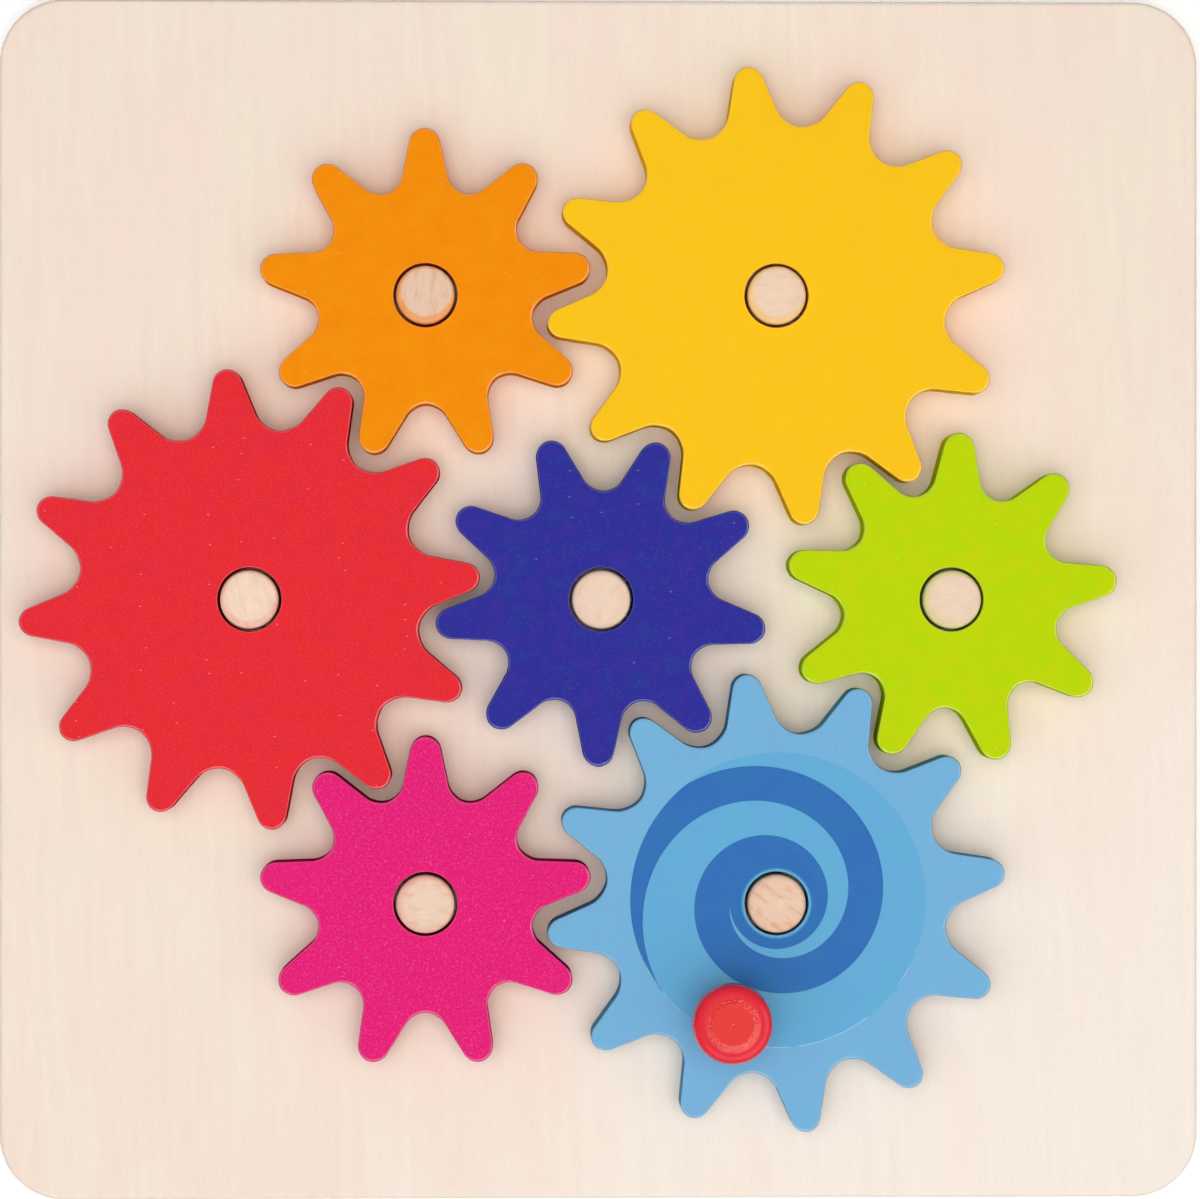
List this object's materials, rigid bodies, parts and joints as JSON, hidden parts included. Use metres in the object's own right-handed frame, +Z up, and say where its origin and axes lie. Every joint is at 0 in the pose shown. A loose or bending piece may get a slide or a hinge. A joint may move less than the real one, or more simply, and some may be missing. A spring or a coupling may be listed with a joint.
{
  "type": "wooden crank gear toy",
  "caption": "Square wooden board with meshing coloured wooden gears on round pins; a knob on the light blue gear cranks them all.",
  "frame": {"origin": "centre of the board's underside", "axes": "+Z up out of the board through the gears, +Y towards the row with the orange and yellow gears, +X towards the green gear"},
  "size_m": [0.25, 0.25, 0.0383],
  "materials": {
    "birch_plywood": "pale sanded birch, matt clear coat",
    "beech_dowel": "bare sanded beech",
    "red_lacquer": "turned wood in gloss red lacquer",
    "light_blue_paint": "stained wood under a satin clear coat",
    "dark_blue_paint": "stained wood under a satin clear coat",
    "green_paint": "stained wood under a satin clear coat",
    "magenta_paint": "stained wood under a satin clear coat",
    "yellow_paint": "stained wood under a satin clear coat",
    "red_paint": "stained wood under a satin clear coat",
    "orange_paint": "stained wood under a satin clear coat"
  },
  "bodies": {
    "base": {"base_board": "birch_plywood", "light_blue_crank_gear_pin": "beech_dowel", "dark_blue_gear_pin": "beech_dowel", "green_gear_pin": "beech_dowel", "magenta_gear_pin": "beech_dowel", "yellow_gear_pin": "beech_dowel", "red_gear_pin": "beech_dowel", "orange_gear_pin": "beech_dowel"},
    "light_blue_crank_gear": {"light_blue_crank_gear": "light_blue_paint", "crank_knob": "red_lacquer", "crank_knob_dowel": "beech_dowel"},
    "dark_blue_gear": {"dark_blue_gear": "dark_blue_paint"},
    "green_gear": {"green_gear": "green_paint"},
    "magenta_gear": {"magenta_gear": "magenta_paint"},
    "yellow_gear": {"yellow_gear": "yellow_paint"},
    "red_gear": {"red_gear": "red_paint"},
    "orange_gear": {"orange_gear": "orange_paint"}
  },
  "joints": [
    {"name": "light_blue_crank_gear_turn", "type": "hinge", "parent": "base", "child": "light_blue_crank_gear", "pos_m": [0.03625, -0.06279, 0.0143], "axis": [0, 0, 1], "continuous": true},
    {"name": "dark_blue_gear_turn", "type": "hinge", "parent": "base", "child": "dark_blue_gear", "pos_m": [0, 0, 0.0143], "axis": [0, 0, 1], "continuous": true},
    {"name": "green_gear_turn", "type": "hinge", "parent": "base", "child": "green_gear", "pos_m": [0.0725, 0, 0.0143], "axis": [0, 0, 1], "continuous": true},
    {"name": "magenta_gear_turn", "type": "hinge", "parent": "base", "child": "magenta_gear", "pos_m": [-0.03625, -0.06279, 0.0143], "axis": [0, 0, 1], "continuous": true},
    {"name": "yellow_gear_turn", "type": "hinge", "parent": "base", "child": "yellow_gear", "pos_m": [0.03625, 0.06279, 0.0143], "axis": [0, 0, 1], "continuous": true},
    {"name": "red_gear_turn", "type": "hinge", "parent": "base", "child": "red_gear", "pos_m": [-0.0725, 0, 0.0143], "axis": [0, 0, 1], "continuous": true},
    {"name": "orange_gear_turn", "type": "hinge", "parent": "base", "child": "orange_gear", "pos_m": [-0.03625, 0.06279, 0.0143], "axis": [0, 0, 1], "continuous": true}
  ],
  "couplings": [
    {"joint": "dark_blue_gear_turn", "follows": "light_blue_crank_gear_turn", "ratio": -1.3333},
    {"joint": "green_gear_turn", "follows": "light_blue_crank_gear_turn", "ratio": -1.3333},
    {"joint": "magenta_gear_turn", "follows": "light_blue_crank_gear_turn", "ratio": -1.3333},
    {"joint": "yellow_gear_turn", "follows": "light_blue_crank_gear_turn", "ratio": 1},
    {"joint": "red_gear_turn", "follows": "light_blue_crank_gear_turn", "ratio": 1},
    {"joint": "orange_gear_turn", "follows": "light_blue_crank_gear_turn", "ratio": -1.3333}
  ]
}
